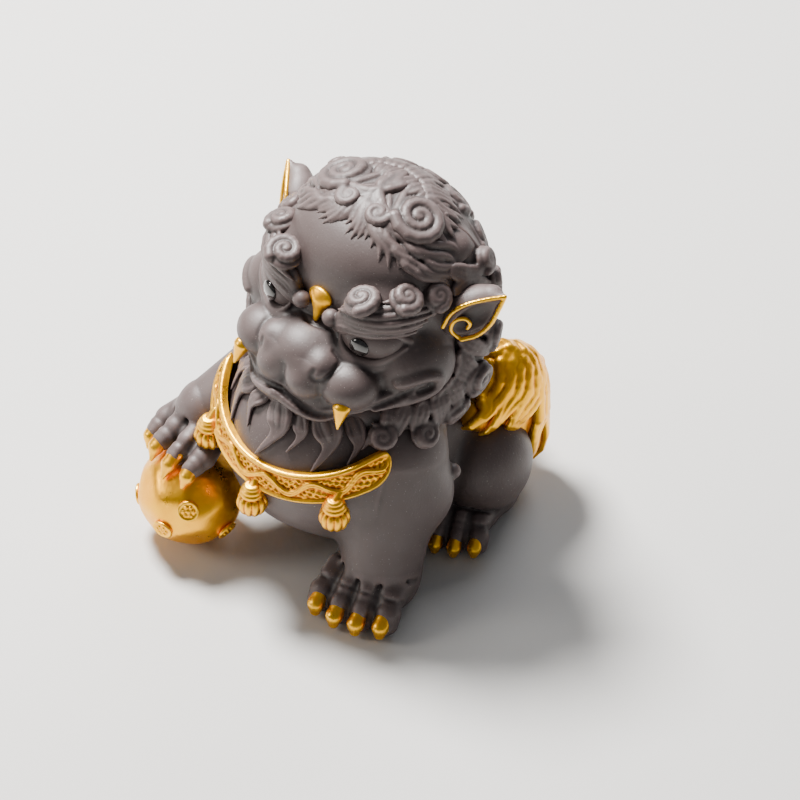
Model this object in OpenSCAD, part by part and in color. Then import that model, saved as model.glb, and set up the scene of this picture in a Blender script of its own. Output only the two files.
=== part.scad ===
// Guardian-lion tea pet: a seated lion of dark clay, hand-built from hollow shells and luted pieces,
// with gilded trim. The lion faces -Y, its left side is +X, and it stands on the plane z = 0.
// The origin is the middle of its flat base.

/* [Head] */
// Width of the bare skull
skull_w = 51; // [48:0.5:54]
// Depth of the bare skull, front to back
skull_d = 43; // [41:0.5:46]
// Height of the skull's centre above the base
skull_z = 72; // [71:0.5:74]
// Thickness of the combed hair over the skull
hair_t = 2.4; // [1.5:0.1:3]
// Distance between the two pupils
pupil_gap = 27; // [25:0.5:29]

/* [Body] */
// Width of the chest
chest_w = 48; // [46:0.5:50]
// Width of the rump
rump_w = 46; // [44:0.5:48]
// Wall of the hollow clay shells
wall = 6; // [5:0.5:7]
// Diameter of the firing vent in the base
vent_d = 6; // [4:0.5:8]

/* [Dress and ball] */
// Diameter of the ball under the right forepaw
ball_d = 25; // [24:0.5:26]
// Radius of the collar's centre line
collar_r = 25.5; // [25:0.25:26]
// Height of the collar's band
collar_h = 6.5; // [5:0.5:8]
// Diameter of a bell
bell_d = 7.2; // [6:0.2:8]

/* [Claws] */
// Length of a claw
claw_l = 4.5; // [3.5:0.5:5.5]

/* [Hidden] */

clay = "#5c504b";
dark_clay = "#463c39";
gold = "#d9a01c";
glaze = "#0b0908";
$fn = 96;
eps = 0.01;
left = 1;
right = -1;

skull_r = skull_w / 2;
skull_c = [0, -7, skull_z];
muzzle_c = [0, -20, skull_z - 11];
muzzle_r = 17.5;
muzzle_h = 11;
chest_r = chest_w / 2;
chest_c = [0, -25, 33];
belly_c = [0, -14, 17];
rump_r = rump_w / 2;
rump_c = [0, 6, 19];
neck_y = -12;
collar_tilt = 22.8;
collar_c = [0, -25, 46.6];
ball_c = [-23.5, -46.5, ball_d / 2];
eye_c = [pupil_gap / 2 - 0.3, -24.1, skull_z - 0.5];
eye_r = 5.2;
pupil_c = [pupil_gap / 2, -28.2, skull_z];
pupil_r = 2.5;
lip_c = [10, -31, skull_z - 8];
lip_r = 9.2;
cheek_c = [20, -18, skull_z - 10];
cheek_r = 9;
shoulder_c = [17, -22, 36];
shoulder_r = 13;

// ---- shared shapes ----

// A point on the left side, taken to side s.
function side(p, s) = [s * p.x, p.y, p.z];

// A piece drawn on the left side, taken to side s.
module on_side(s) {
    mirror([s > 0 ? 0 : 1, 0, 0]) children();
}

function half_ellipse(r, h, steps = 14) =
    [for (i = [0 : steps]) let (a = -90 + 180 * i / steps) [r * cos(a), h * sin(a)]];

// A solid of revolution about Z: r is its radius, h its half height.
module spheroid(r, h) {
    rotate_extrude() polygon(half_ellipse(r, h));
}

module blob(p, r, h, tilt = [0, 0, 0]) {
    translate(p) rotate(tilt) spheroid(r, h);
}

module ball_at(p, r) {
    translate(p) sphere(r);
}

// Turns +Z to the direction from a to b, at a.
module along(a, b) {
    d = b - a;
    translate(a) rotate([0, acos(d.z / norm(d)), atan2(d.y, d.x)]) children();
}

// A round limb from a to b that tapers from radius ra to rb, with rounded ends.
module limb(a, b, ra, rb) {
    len = norm(b - a);
    steps = 6;
    start = [for (i = [0 : steps]) let (t = -90 + 90 * i / steps) [ra * cos(t), ra * sin(t)]];
    end = [for (i = [0 : steps]) let (t = 90 * i / steps) [rb * cos(t), len + rb * sin(t)]];
    along(a, b) rotate_extrude() polygon(concat(start, end));
}

// A lock of hair: a teardrop, fullest near a and pointed at b.
module lock(a, b, r) {
    len = norm(b - a);
    bulge = [for (i = [0 : 8]) let (t = -90 + 120 * i / 8) [r * cos(t), r * sin(t)]];
    along(a, b) rotate_extrude() polygon(concat(bulge, [[0, len]]));
}

// A snail curl: a flat coin with a raised button, facing outwards along the direction from a to b.
module curl(a, b, r) {
    along(a, b) {
        cylinder(r = r, h = 2.2);
        cylinder(r = 0.55 * r, h = 3);
    }
}

module above_base() {
    translate([-60, -80, 0]) cube([120, 140, 140]);
}

// ---- outer forms that neighbours are cut to ----

module skull() {
    blob(skull_c, skull_r, skull_d / 2, [90, 0, 0]);
}

module head_form() {
    skull();
    blob(muzzle_c, muzzle_r, muzzle_h);
}

module torso_form() {
    ball_at(chest_c, chest_r);
    ball_at(belly_c, 0.93 * chest_r);
    ball_at(rump_c, rump_r);
}

module lip_form(s) {
    blob(side(lip_c, s), lip_r, lip_r);
}

// The eye's own axis points at the pupil.
module eye_form(s) {
    along(side(eye_c, s), side(pupil_c, s)) sphere(eye_r);
}

module haunch_form(s) {
    blob(side([23.2, 5, 14.5], s), 10.5, 12.5);
}

module ball_form() {
    ball_at(ball_c, ball_d / 2);
}

// ---- body ----

module torso() {
    color(clay) difference() {
        intersection() {
            torso_form();
            above_base();
        }
        head_form();
        ball_at(chest_c + [0, 4, -2], chest_r - wall);
        ball_at(rump_c, rump_r - wall);
        translate([0, neck_y, 30]) cylinder(d = 2 * wall, h = 30);
        translate([0, rump_c.y, -eps]) cylinder(d = vent_d, h = 2 * wall);
    }
}

module haunch(s) {
    color(clay) difference() {
        intersection() {
            haunch_form(s);
            above_base();
        }
        torso_form();
    }
}

function paw_point(p, turn, s) =
    [s * (p.x * cos(turn) - p.y * sin(turn)), p.x * sin(turn) + p.y * cos(turn), p.z];

// A paw on the ground: a round pad with four toes. It points along -Y, then turns outwards.
module ground_paw(c, turn, s, size) {
    intersection() {
        union() {
            ball_at(side(c, s) + [0, 0, 4 * size], 8.6 * size);
            for (i = [-1.5 : 1.5])
                translate(side(c, s) + paw_point([5.2 * size * i, (-9.4 + 0.9 * i * i) * size, 3.6 * size], turn, s))
                    sphere(r = 3.7 * size);
        }
        above_base();
    }
}

module ground_claws(c, turn, s, size) {
    for (i = [-1.5 : 1.5]) {
        root = side(c, s) + paw_point([5.2 * size * i, (-12.4 + 0.9 * i * i) * size, 3.2 * size], turn, s);
        tip = root + paw_point([0, -0.72, -0.46] * claw_l * size, turn, s);
        limb(root, tip, 1.5 * size, 0.7 * size);
    }
}

hind_c = [21.5, -3.2, 0];
hind_turn = 24;
hind_size = 0.82;
fore_c = [24.4, -36, 0];
fore_turn = 15;
fore_size = 1;

module hind_paw(s) {
    color(clay) difference() {
        ground_paw(hind_c, hind_turn, s, hind_size);
        haunch_form(s);
    }
}

module claws_hind(s) {
    color(gold) difference() {
        ground_claws(hind_c, hind_turn, s, hind_size);
        ground_paw(hind_c, hind_turn, s, hind_size);
    }
}

module foreleg_left_form() {
    limb([23.5, -30.5, 9], shoulder_c, 10.5, shoulder_r);
}

module foreleg_right_form() {
    limb([-27, -37, 31], side(shoulder_c, right), 6.5, shoulder_r);
}

module foreleg_left() {
    color(clay) difference() {
        foreleg_left_form();
        torso_form();
        head_form();
        ground_paw(fore_c, fore_turn, left, fore_size);
    }
}

module foreleg_right() {
    color(clay) difference() {
        foreleg_right_form();
        torso_form();
        head_form();
    }
}

module forepaw_left() {
    color(clay) ground_paw(fore_c, fore_turn, left, fore_size);
}

module claws_fore_left() {
    color(gold) difference() {
        ground_claws(fore_c, fore_turn, left, fore_size);
        ground_paw(fore_c, fore_turn, left, fore_size);
    }
}

// Where toe i of the right forepaw lies on the ball, at a clearance above its surface.
function ball_toe(i, back, lift) =
    ball_c + (ball_d / 2 + lift) * [
        sin(-6 - 15 * i) * cos(back),
        sin(back) * -1,
        cos(-6 - 15 * i) * cos(back)
    ];

module forepaw_right_form() {
    ball_at(ball_c + [-2.5, 5.5, 15.5], 6.8);
    for (i = [-1.5 : 1.5]) {
        ball_at(ball_toe(1.25 * i, -12, 2.6), 3.2);
        ball_at(ball_toe(1.35 * i, 6, 1.9), 2.9);
    }
}

module forepaw_right() {
    color(clay) difference() {
        forepaw_right_form();
        ball_form();
        foreleg_right_form();
        torso_form();
    }
}

module claws_fore_right() {
    color(gold) difference() {
        for (i = [-1.5 : 1.5])
            limb(ball_toe(1.4 * i, 16, 1.6), ball_toe(1.5 * i, 34, 0.6), 1.6, 0.7);
        ball_form();
        forepaw_right_form();
    }
}

// ---- head ----

module head_shell() {
    color(clay) difference() {
        head_form();
        ball_at(skull_c, skull_d / 2 - wall);
        translate([0, neck_y, 40]) cylinder(d = 2 * wall, h = 26);
        for (s = [left, right]) eye_form(s);
    }
}

module jaw_form() {
    blob([0, -27, skull_z - 17.5], 15, 6.5, [10, 0, 0]);
}

module lower_jaw() {
    color(clay) difference() {
        jaw_form();
        head_form();
        lip_form(left);
        lip_form(right);
        torso_form();
    }
}

module lip(s) {
    color(clay) on_side(s) difference() {
        lip_form(left);
        head_form();
    }
}

module nose() {
    color(clay) difference() {
        limb([-4.5, -36.5, skull_z - 3], [4.5, -36.5, skull_z - 3], 4.6, 4.6);
        head_form();
        lip_form(left);
        lip_form(right);
    }
}

module cheek(s) {
    color(clay) difference() {
        ball_at(side(cheek_c, s), cheek_r);
        head_form();
        lip_form(s);
        foreleg_left_form();
        foreleg_right_form();
    }
}

brow_root = [5.5, -28.8, skull_z + 5];
brow_top = [12.5, -26.2, skull_z + 8.5];
brow_middle = [18, -21.5, skull_z + 10.5];
brow_end = [22, -15, skull_z + 11.5];

// A swept-back brow: a row of round curls that grow smaller towards the ear.
module brow(s) {
    color(clay) on_side(s) difference() {
        union() {
            ball_at(brow_root, 3.6);
            ball_at(brow_top, 5);
            ball_at(brow_middle, 4.6);
            ball_at(brow_end, 4.2);
        }
        skull();
    }
}

module brow_jewel() {
    color(gold) difference() {
        lock([0, -28.6, skull_z + 6], [0, -30.5, skull_z + 0.5], 3.2);
        skull();
        for (s = [left, right]) ball_at(side(brow_root, s), 3.6);
    }
}

module pupil_form(s) {
    along(side(pupil_c, s), side(eye_c, s)) sphere(pupil_r);
}

module eyeball(s) {
    color(clay) on_side(s) difference() {
        eye_form(left);
        pupil_form(left);
    }
}

module eyelid(s) {
    c = side(eye_c, s);
    color(dark_clay) difference() {
        along(c, c + [s * 2, -9, 0.5]) translate([0, 0, 2]) rotate_extrude() translate([eye_r - 0.3, 0]) circle(r = 1.2);
        head_form();
        eye_form(s);
        lip_form(s);
    }
}

module pupil(s) {
    color(glaze) pupil_form(s);
}

// The ear's outline: a leaf between two arcs, pointed at both ends, along +Y.
module leaf(len, w) {
    arc_r = (len * len + w * w) / (4 * w);
    intersection_for(k = [-1, 1]) translate([k * (arc_r - w / 2), len / 2]) circle(r = arc_r);
}

ear_l = 16;
ear_w = 10;
ear_root = [23, -10.5, skull_z - 0.5];

// Stands the leaf on the side of the head, its point outwards, upwards and back.
module place_ear(s) {
    on_side(s) translate(ear_root) rotate([75, 50, 33]) children();
}

module ear(s) {
    color(clay) difference() {
        place_ear(s) difference() {
            linear_extrude(4, center = true) leaf(ear_l, ear_w);
            translate([0, 3.2, 0.4]) linear_extrude(4) leaf(ear_l - 6.4, ear_w - 4);
        }
        skull();
    }
}

module ear_rim(s) {
    color(gold) difference() {
        place_ear(s) translate([0, 0, 2]) linear_extrude(1) difference() {
            leaf(ear_l, ear_w);
            translate([0, 3.2]) leaf(ear_l - 6.4, ear_w - 4);
        }
        skull();
    }
}

module fangs() {
    color(gold) difference() {
        for (s = [left, right])
            limb(side([15.3, -36.5, skull_z - 13.2], s), side([15.8, -38.6, skull_z - 15.6], s), 1.8, 0.7);
        lip_form(left);
        lip_form(right);
        jaw_form();
    }
}

// ---- hair ----

module hair_layer() {
    difference() {
        blob(skull_c, skull_r + hair_t, skull_d / 2 + hair_t, [90, 0, 0]);
        skull();
    }
}

// The four zones of hair are cut by planes through the skull: hairline and nape.
module zone(low, high) {
    translate(low) cube(high - low);
}

fringe_low = [-18, -24, skull_z + 15];
fringe_high = [18, -4, skull_z + 32];

module fringe() {
    color(clay) intersection() {
        hair_layer();
        zone(fringe_low, fringe_high);
    }
}

module crown_curl() {
    color(clay) difference() {
        curl([-6, -10, skull_z + 25.6], [-8, -13, skull_z + 35], 6);
        blob(skull_c, skull_r + hair_t, skull_d / 2 + hair_t, [90, 0, 0]);
    }
}

module back_mane() {
    color(clay) difference() {
        intersection() {
            hair_layer();
            zone([-30, -4, 40], [30, 30, skull_z + 32]);
        }
        torso_form();
        ball_at(side(cheek_c, left), cheek_r);
        ball_at(side(cheek_c, right), cheek_r);
        for (s = [left, right]) side_curls(s);
    }
}

module side_curls(s) {
    for (k = [0 : 3]) {
        a = side([21 - 1.2 * k, -9 + 4.5 * k, skull_z - 6 - 4.5 * k], s);
        ball_at(a + [s * 1.5, -1, -1], 5);
    }
}

module side_mane(s) {
    color(clay) difference() {
        side_curls(s);
        head_form();
        ball_at(side(cheek_c, s), cheek_r);
        torso_form();
        foreleg_left_form();
        foreleg_right_form();
        place_ear(s) linear_extrude(8, center = true) leaf(ear_l, ear_w);
    }
}

// A pointed tuft of beard from a to its tip b.
module tuft(a, b) {
    along(a, b) cylinder(r1 = 4.2, r2 = 0.8, h = norm(b - a));
}

module beard() {
    color(clay) difference() {
        union() {
            tuft([0, -38, skull_z - 20], [0, -48, skull_z - 29]);
            for (s = [left, right]) tuft(side([10, -34, skull_z - 20], s), side([13.5, -45, skull_z - 29], s));
        }
        jaw_form();
        ball_at(chest_c, chest_r);
    }
}

// ---- dress, ball and tail ----

module collar() {
    color(gold) difference() {
        translate(collar_c) rotate([collar_tilt, 0, 0]) rotate([0, 0, 191]) rotate_extrude(angle = 158)
            translate([collar_r - 2.5, -collar_h / 2]) square([4.2, collar_h]);
        torso_form();
        foreleg_left_form();
        foreleg_right_form();
        head_form();
    }
}

// A bell hangs from the collar: a round body under a stepped cap.
module bell(p, lean) {
    color(gold) difference() {
        translate(p) rotate(lean) {
            sphere(d = bell_d);
            cylinder(d = 0.5 * bell_d, h = 0.62 * bell_d);
            cylinder(d = 0.34 * bell_d, h = 0.8 * bell_d);
        }
        torso_form();
        foreleg_left_form();
        foreleg_right_form();
        ball_form();
        collar();
    }
}

bell_side = [19.5, -44, 31.5];

module bosses_form() {
    for (p = [[0.1, -0.75, 0.2], [0.75, -0.6, -0.1], [-0.7, -0.65, -0.15], [0.1, -0.5, -0.8], [-0.95, 0.1, 0.1],
              [0.9, 0.3, 0.3], [-0.3, 0.9, 0.2]])
        along(ball_c, ball_c + p) translate([0, 0, ball_d / 2 - 1]) cylinder(d = 5, h = 1.8);
}

module ball() {
    color(gold) ball_form();
}

module ball_bosses() {
    color(gold) difference() {
        bosses_form();
        ball_form();
    }
}

tail_c = [20, 15, 20];

module tail() {
    color(gold) difference() {
        union() {
            blob(tail_c, 8, 15, [8, -4, 0]);
            lock(tail_c + [-2, 4, 10], tail_c + [-3, 4, 21], 5);
            lock(tail_c + [0, -4, 11], tail_c + [2.5, -15, 10.5], 5);
            lock(tail_c + [4, -1, 3], tail_c + [7, -9, 0], 5);
            lock(tail_c + [3, 4, -2], tail_c + [4, 7, -16], 5);
            lock(tail_c + [-3, 7, 2], tail_c + [-7, 12, -9], 5);
        }
        torso_form();
        haunch_form(left);
        blob(skull_c, skull_r + hair_t, skull_d / 2 + hair_t, [90, 0, 0]);
        side_curls(left);
    }
}

torso();
haunch(left);  // haunch_left
haunch(right);  // haunch_right
hind_paw(left);  // hind_paw_left
hind_paw(right);  // hind_paw_right
foreleg_left();
foreleg_right();
forepaw_left();
forepaw_right();
claws_fore_left();
claws_fore_right();
claws_hind(left);  // claws_hind_left
claws_hind(right);  // claws_hind_right
head_shell();
lower_jaw();
lip(left);  // lip_left
lip(right);  // lip_right
nose();
cheek(left);  // cheek_left
cheek(right);  // cheek_right
brow(left);  // brow_left
brow(right);  // brow_right
brow_jewel();
eyeball(left);  // eyeball_left
eyeball(right);  // eyeball_right
eyelid(left);  // eyelid_left
eyelid(right);  // eyelid_right
pupil(left);  // pupil_left
pupil(right);  // pupil_right
ear(left);  // ear_left
ear(right);  // ear_right
ear_rim(left);  // ear_rim_left
ear_rim(right);  // ear_rim_right
fangs();
crown_curl();
fringe();
side_mane(left);  // side_mane_left
side_mane(right);  // side_mane_right
back_mane();
beard();
collar();
bell(bell_side, [0, 0, 0]);  // bell_left
bell([0, -50, 28], [0, 0, 0]);  // bell_centre
bell(side(bell_side, right), [0, 0, 0]);  // bell_right
ball();
ball_bosses();
tail();
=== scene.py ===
"""Looks for the guardian-lion tea pet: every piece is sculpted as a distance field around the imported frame.

Lengths in this script are millimetres until a mesh is made. The lion faces -Y and its left side is +X.
"""
import math

import bpy
import numpy as np
import openvdb as vdb
from mathutils import Matrix, Vector


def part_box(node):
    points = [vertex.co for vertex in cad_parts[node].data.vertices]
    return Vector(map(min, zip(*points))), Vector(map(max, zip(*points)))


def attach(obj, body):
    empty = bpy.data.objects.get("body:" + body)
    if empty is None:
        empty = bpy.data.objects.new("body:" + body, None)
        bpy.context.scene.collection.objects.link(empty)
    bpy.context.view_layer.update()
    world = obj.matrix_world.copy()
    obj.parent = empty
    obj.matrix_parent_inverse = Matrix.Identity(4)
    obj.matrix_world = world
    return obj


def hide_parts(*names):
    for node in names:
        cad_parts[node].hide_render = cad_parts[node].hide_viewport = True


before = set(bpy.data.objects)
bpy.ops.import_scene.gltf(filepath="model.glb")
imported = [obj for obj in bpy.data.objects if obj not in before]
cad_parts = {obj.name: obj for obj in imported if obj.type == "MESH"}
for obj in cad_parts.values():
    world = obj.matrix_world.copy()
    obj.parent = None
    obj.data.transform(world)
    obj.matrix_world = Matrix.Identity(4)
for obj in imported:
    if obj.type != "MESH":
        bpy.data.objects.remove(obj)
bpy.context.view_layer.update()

MM = 0.001
FAR = 9.0          # the distance stored where nothing is near
FINE = 0.34        # grid step of the detailed pieces
BROAD = 0.42       # grid step of the body
LEFT, RIGHT = 1, -1
BOTH = (LEFT, RIGHT)
NAMED = ((LEFT, "left"), (RIGHT, "right"))


# ---------------------------------------------------------------- places, from the frame

def low(node):
    return np.array(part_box(node)[0]) / MM


def high(node):
    return np.array(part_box(node)[1]) / MM


def mid(node):
    return (low(node) + high(node)) / 2


def at(x, y, z):
    return np.array([x, y, z], float)


def side(p, s):
    """A point on the left side, taken to side s."""
    return np.array([s * p[0], p[1], p[2]], float)


def sided(points, s):
    """Points of the left side, taken to side s."""
    return [side(p, s) for p in points]


SKULL_R = high("head_shell")[0]
SKULL_D = high("head_shell")[1] - low("head_shell")[1]
SKULL_BEHIND = 21.5        # from the skull's middle to its back
SKULL = at(0, high("head_shell")[1] - SKULL_BEHIND, mid("head_shell")[2])
BALL = mid("ball")
BALL_R = (high("ball") - low("ball"))[0] / 2
EYE = mid("eyeball_left")
PUPIL = mid("pupil_left")


# ---------------------------------------------------------------- clay: a distance field on a grid

def smooth_min(a, b, k):
    if k <= 0:
        return np.minimum(a, b)
    h = np.maximum(k - np.abs(a - b), 0) / k
    return np.minimum(a, b) - h * h * k * 0.25


class Form:
    """A shape: its signed distance, and the box it fills."""

    def __init__(self, lo, hi, distance):
        self.lo = np.asarray(lo, float)
        self.hi = np.asarray(hi, float)
        self.distance = distance


def turned(degrees):
    """Rotation matrix for turns about X, then Y, then Z."""
    x, y, z = (math.radians(v) for v in degrees)
    return np.array(Matrix.Rotation(z, 3, "Z") @ Matrix.Rotation(y, 3, "Y") @ Matrix.Rotation(x, 3, "X"))


def ellipsoid(c, r, turn=(0, 0, 0)):
    """turn is three angles, or a rotation matrix."""
    c, r = np.asarray(c, float), np.asarray(r, float)
    rot = turned(turn) if np.ndim(turn) == 1 else turn
    reach = np.sqrt(((rot * r) ** 2).sum(1))

    def distance(x, y, z):
        p = [x - c[0], y - c[1], z - c[2]]
        if np.any(turn):
            p = [rot[0, i] * p[0] + rot[1, i] * p[1] + rot[2, i] * p[2] for i in range(3)]
        inner = np.sqrt(sum((p[i] / r[i]) ** 2 for i in range(3)))
        outer = np.sqrt(sum((p[i] / r[i] ** 2) ** 2 for i in range(3)))
        return inner * (inner - 1) / np.maximum(outer, 1e-6)

    return Form(c - reach, c + reach, distance)


def unit(v):
    v = np.asarray(v, float)
    return v / max(float(np.linalg.norm(v)), 1e-9)


def facing(normal):
    """Rotation matrix whose Z axis is the normal."""
    n = unit(normal)
    u = unit(np.cross((0, 0, 1) if abs(n[2]) < 0.9 else (0, 1, 0), n))
    return np.stack([u, np.cross(n, u), n], 1)


def limb(a, b, ra, rb):
    """A round bar from a to b whose radius runs from ra to rb."""
    a, b = np.asarray(a, float), np.asarray(b, float)
    d = b - a
    span = max(float(d @ d), 1e-9)
    widest = max(ra, rb)

    def distance(x, y, z):
        px, py, pz = x - a[0], y - a[1], z - a[2]
        t = np.clip((px * d[0] + py * d[1] + pz * d[2]) / span, 0, 1)
        gap = np.sqrt((px - d[0] * t) ** 2 + (py - d[1] * t) ** 2 + (pz - d[2] * t) ** 2)
        return gap - (ra + (rb - ra) * t)

    return Form(np.minimum(a, b) - widest, np.maximum(a, b) + widest, distance)


def tube(points, radii):
    """Bars along a line of points; radii is one number or one for each point."""
    radii = np.broadcast_to(radii, len(points))
    return [limb(points[i], points[i + 1], radii[i], radii[i + 1]) for i in range(len(points) - 1)]


def curve(points, n=16):
    """A smooth line through a few points."""
    p = np.asarray(points, float)
    p = np.vstack([2 * p[0] - p[1], p, 2 * p[-1] - p[-2]])
    out = []
    spans = len(p) - 3
    for s in range(spans):
        a, b, c, d = p[s:s + 4]
        steps = max(2, round(n / spans))
        for t in np.linspace(0, 1, steps, endpoint=s == spans - 1):
            out.append(0.5 * (2 * b + (c - a) * t + (2 * a - 5 * b + 4 * c - d) * t ** 2
                              + (3 * b - a - 3 * c + d) * t ** 3))
    return np.array(out)


class Clay:
    """A lump that forms are put on and cut from."""

    def __init__(self, lo, hi, step, reach=0.0):
        self.lo = np.asarray(lo, float)
        self.step = step
        self.reach = reach
        self.shape = np.ceil((np.asarray(hi, float) - self.lo) / step).astype(int) + 1
        self.axes = [self.lo[i] + step * np.arange(self.shape[i]) for i in range(3)]
        self.d = np.full(self.shape, FAR, np.float32)

    def window(self, lo, hi):
        a = np.clip(np.floor((lo - self.lo) / self.step).astype(int), 0, self.shape)
        b = np.clip(np.ceil((hi - self.lo) / self.step).astype(int) + 1, 0, self.shape)
        return tuple(slice(i, j) for i, j in zip(a, b))

    def places(self, win):
        x, y, z = (self.axes[i][win[i]].astype(np.float32) for i in range(3))
        return x[:, None, None], y[None, :, None], z[None, None, :]

    def joined(self, forms, k, inner):
        """The forms as one field in the window that holds them all."""
        pad = k + 2 * self.step + self.reach
        win = self.window(np.min([f.lo for f in forms], 0) - pad, np.max([f.hi for f in forms], 0) + pad)
        total = np.full([s.stop - s.start for s in win], FAR, np.float32)
        for f in forms:
            part = self.window(f.lo - pad - inner, f.hi + pad + inner)
            if any(s.stop <= s.start for s in part):
                continue
            local = tuple(slice(max(p.start - w.start, 0), p.stop - w.start) for p, w in zip(part, win))
            part = tuple(slice(w.start + s.start, min(w.start + s.stop, w.stop)) for s, w in zip(local, win))
            value = f.distance(*self.places(part))
            total[local] = smooth_min(total[local], value, inner)
        return win, total

    def put(self, *forms, k=0.0, inner=0.0):
        win, value = self.joined(forms, k, inner)
        self.d[win] = smooth_min(self.d[win], value, k)
        return self

    def cut(self, *forms, k=0.0, inner=0.0):
        win, value = self.joined(forms, k, inner)
        self.d[win] = -smooth_min(-self.d[win], value, k)
        return self

    def keep_above(self, z):
        self.d = np.maximum(self.d, (z - self.axes[2])[None, None, :].astype(np.float32))
        return self

    def sample(self, p):
        q = np.clip((np.atleast_2d(p) - self.lo) / self.step, 0, self.shape - 1.001)
        i = q.astype(int)
        f = q - i
        out = 0
        for corner in range(8):
            o = np.array([corner >> 2 & 1, corner >> 1 & 1, corner & 1])
            w = np.prod(np.where(o, f, 1 - f), axis=1)
            j = i + o
            out = out + w * self.d[j[:, 0], j[:, 1], j[:, 2]]
        return out

    def normal(self, p):
        p = np.atleast_2d(np.asarray(p, float))
        g = np.stack([self.sample(p + e) - self.sample(p - e) for e in np.eye(3) * 1.5 * self.step], 1)
        return g / np.maximum(np.linalg.norm(g, axis=1, keepdims=True), 1e-6)

    def snap(self, p, lift=0.0, rounds=12):
        """Moves points to the surface, or to a height above it."""
        p = np.atleast_2d(np.asarray(p, float)).copy()
        for _ in range(rounds):
            p -= (self.sample(p) - lift)[:, None] * self.normal(p) * 0.8
        return p

    def trace(self, p, lift=0.0):
        """A line of points taken to the surface and made even."""
        p = self.snap(p, lift)
        for _ in range(3):
            p[1:-1] = 0.25 * p[:-2] + 0.5 * p[1:-1] + 0.25 * p[2:]
        return p

    def blank(self):
        """An empty lump on the same grid."""
        return Clay(self.lo, self.lo + self.step * (self.shape - 1), self.step)

    def copy(self):
        other = Clay.__new__(Clay)
        other.__dict__.update(self.__dict__)
        other.d = self.d.copy()
        return other

    def within(self, zone, grow=0.0):
        """The part of this lump that lies in a zone of the same grid, its skin moved out by grow."""
        other = self.copy()
        other.d = np.maximum(self.d - grow, zone.d)
        return other

    def trimmed(self):
        """The same lump on just the part of the grid that it needs."""
        solid = self.d < 2 * self.step
        first, last = [], []
        for axis in range(3):
            used = np.flatnonzero(solid.any(axis=tuple(i for i in range(3) if i != axis)))
            first.append(max(used[0] - 9, 0))
            last.append(min(used[-1] + 10, self.shape[axis]))
        other = self.copy()
        win = tuple(slice(a, b) for a, b in zip(first, last))
        other.d = self.d[win].copy()
        other.axes = [self.axes[i][win[i]] for i in range(3)]
        other.lo = self.lo + self.step * np.array(first)
        other.shape = np.array(other.d.shape)
        return other


def swell(path, a=0.0, b=1.0):
    """A value for each point of a path, rising and falling like the part a to b of a half wave."""
    return np.sin(np.pi * np.linspace(a, b, len(path)))


def frame_along(base, path):
    """The normals of a surface along a path, and the directions across the path."""
    normals = base.normal(path)
    across = np.cross(normals, np.gradient(path, axis=0))
    return normals, across / np.maximum(np.linalg.norm(across, axis=1, keepdims=True), 1e-6)


def box_blur(a, n):
    """Mean over 2n+1 cells along each axis."""
    for axis in range(3):
        pad = [(0, 0)] * 3
        pad[axis] = (n + 1, n)
        total = np.cumsum(np.pad(a, pad, mode="edge"), axis=axis, dtype=np.float64)
        width = 2 * n + 1
        upper = np.take(total, range(width, total.shape[axis]), axis=axis)
        lower = np.take(total, range(0, total.shape[axis] - width), axis=axis)
        a = ((upper - lower) / width).astype(np.float32)
    return a


def recess(clay, points, reach):
    """How deep a point lies in a hollow (negative) or how far it stands out (positive)."""
    n = max(1, round(reach / clay.step))
    near = np.clip(clay.d, -2 * reach, 2 * reach)
    field = clay.copy()
    field.d = box_blur(near, n) - near
    return field.sample(points) / reach


# ---------------------------------------------------------------- meshes and pieces

def new_mesh(name, verts, faces):
    """A mesh from points in millimetres and faces of one size."""
    mesh = bpy.data.meshes.new(name)
    size = faces.shape[1]
    mesh.vertices.add(len(verts))
    mesh.vertices.foreach_set("co", (verts * MM).astype(np.float32).ravel())
    mesh.loops.add(faces.size)
    mesh.loops.foreach_set("vertex_index", faces.astype(np.int32).ravel())
    mesh.polygons.add(len(faces))
    mesh.polygons.foreach_set("loop_start", np.arange(0, faces.size, size, dtype=np.int32))
    mesh.polygons.foreach_set("loop_total", np.full(len(faces), size, np.int32))
    mesh.update(calc_edges=True)
    mesh.polygons.foreach_set("use_smooth", np.ones(len(faces), bool))
    return mesh


def add_object(name, data):
    obj = bpy.data.objects.new(name, data)
    bpy.context.scene.collection.objects.link(obj)
    return obj


def sculpt(name, clay, slot="clay", nodes=()):
    """Turns a lump of clay into a piece, with its hollows and ridges as point values.

    It stands for the nodes, or for the one node of its own name.
    """
    clay = clay.trimmed()
    limit = 3 * clay.step
    grid = vdb.FloatGrid(background=limit)
    grid.copyFromArray(np.clip(clay.d, -limit, limit))
    grid.transform = vdb.createLinearTransform(voxelSize=clay.step)
    verts, quads = grid.convertToQuads(isovalue=0)
    verts = verts + clay.lo
    mesh = new_mesh(name, verts, quads)
    # These hollow and ridge values drive painted shade in hollows and a painted highlight on ridges in the
    # materials.
    for label, reach in (("line", 0.8), ("hollow", 2.6)):
        values = mesh.attributes.new(label, "FLOAT", "POINT")
        values.data.foreach_set("value", recess(clay, verts, reach).astype(np.float32))
    obj = add_object(name, mesh)
    obj.data.materials.append(MATERIALS[slot])
    nodes = nodes or (name,)
    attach(obj, "root")
    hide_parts(*nodes)


# ---------------------------------------------------------------- materials

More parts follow.
